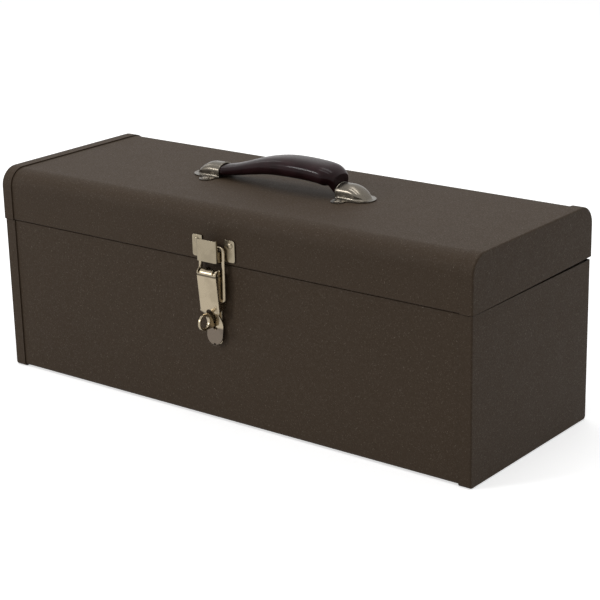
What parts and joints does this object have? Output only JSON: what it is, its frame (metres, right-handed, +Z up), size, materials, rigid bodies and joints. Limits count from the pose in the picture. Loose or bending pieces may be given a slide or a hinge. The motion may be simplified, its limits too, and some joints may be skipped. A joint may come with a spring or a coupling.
{
  "type": "tool tote",
  "caption": "Steel hand-carry tool box with flanged end caps, hinged lid, moulded strap handle in stamped hoods, draw latch with padlock ring and lift-out tray.",
  "frame": {"origin": "on the floor, under the middle of the whole object's box; the latch's padlock ring reaches further out than the hinge, so the shell stands 11 mm towards the back", "axes": "+X to the right along the box as seen from the latch side, +Y from the latch side to the hinge side, +Z up"},
  "size_m": [0.5084, 0.2054, 0.2175],
  "materials": {
    "brown_wrinkle_coat": "dark brown wrinkle powder coat with a fine sparkle",
    "tray_coat": "dark brown smooth powder coat",
    "nickel_plate": "warm nickel plate, polished",
    "bare_steel": "zinc plated steel, satin",
    "burgundy_vinyl": "burgundy moulded vinyl, soft gloss"
  },
  "bodies": {
    "chest": {"body_wrapper": "brown_wrinkle_coat", "body_end_left": "brown_wrinkle_coat", "body_end_right": "brown_wrinkle_coat", "hinge_leaf_lower": "bare_steel", "hinge_pin": "bare_steel", "tray_ledge_left": "brown_wrinkle_coat", "tray_ledge_right": "brown_wrinkle_coat", "latch_base": "nickel_plate", "latch_base_rivet_1": "nickel_plate", "latch_base_rivet_2": "nickel_plate", "staple_rivet": "nickel_plate", "latch_pivot_pin": "nickel_plate", "padlock_staple": "nickel_plate"},
    "lid": {"lid_wrapper": "brown_wrinkle_coat", "lid_end_left": "brown_wrinkle_coat", "lid_end_right": "brown_wrinkle_coat", "hinge_leaf_upper": "bare_steel", "latch_strike": "nickel_plate", "strike_rivet_1": "nickel_plate", "strike_rivet_2": "nickel_plate", "handle_cap_left": "nickel_plate", "handle_cap_right": "nickel_plate", "handle_rivet_1": "nickel_plate", "handle_rivet_2": "nickel_plate", "handle_rivet_3": "nickel_plate", "handle_rivet_4": "nickel_plate"},
    "handle": {"handle_grip": "burgundy_vinyl", "handle_core": "bare_steel"},
    "lever": {"latch_lever": "nickel_plate"},
    "bail": {"latch_bail": "nickel_plate"},
    "tray": {"tray_pan": "tray_coat", "tray_handle": "bare_steel", "tray_rivet_1": "bare_steel", "tray_rivet_2": "bare_steel"}
  },
  "joints": [
    {"name": "lid_hinge", "type": "hinge", "parent": "chest", "child": "lid", "pos_m": [0, 0.1006, 0.1424], "axis": [-1, 0, 0], "range_deg": [0, 105]},
    {"name": "handle_play", "type": "slide", "parent": "lid", "child": "handle", "axis": [0, 0, 1], "range_m": [0, 0.002]},
    {"name": "latch_lever_pivot", "type": "hinge", "parent": "chest", "child": "lever", "pos_m": [-0.0012, -0.0878, 0.1345], "axis": [-1, 0, 0], "range_deg": [0, 95]},
    {"name": "latch_bail_eyes", "type": "hinge", "parent": "lever", "child": "bail", "pos_m": [-0.0012, -0.0834, 0.1115], "axis": [1, 0, 0], "range_deg": [0, 55.1]},
    {"name": "tray_lift", "type": "slide", "parent": "chest", "child": "tray", "axis": [0, 0, 1], "range_m": [0, 0.025]}
  ],
  "couplings": [
    {"joint": "latch_bail_eyes", "follows": "latch_lever_pivot", "ratio": 0.58}
  ]
}
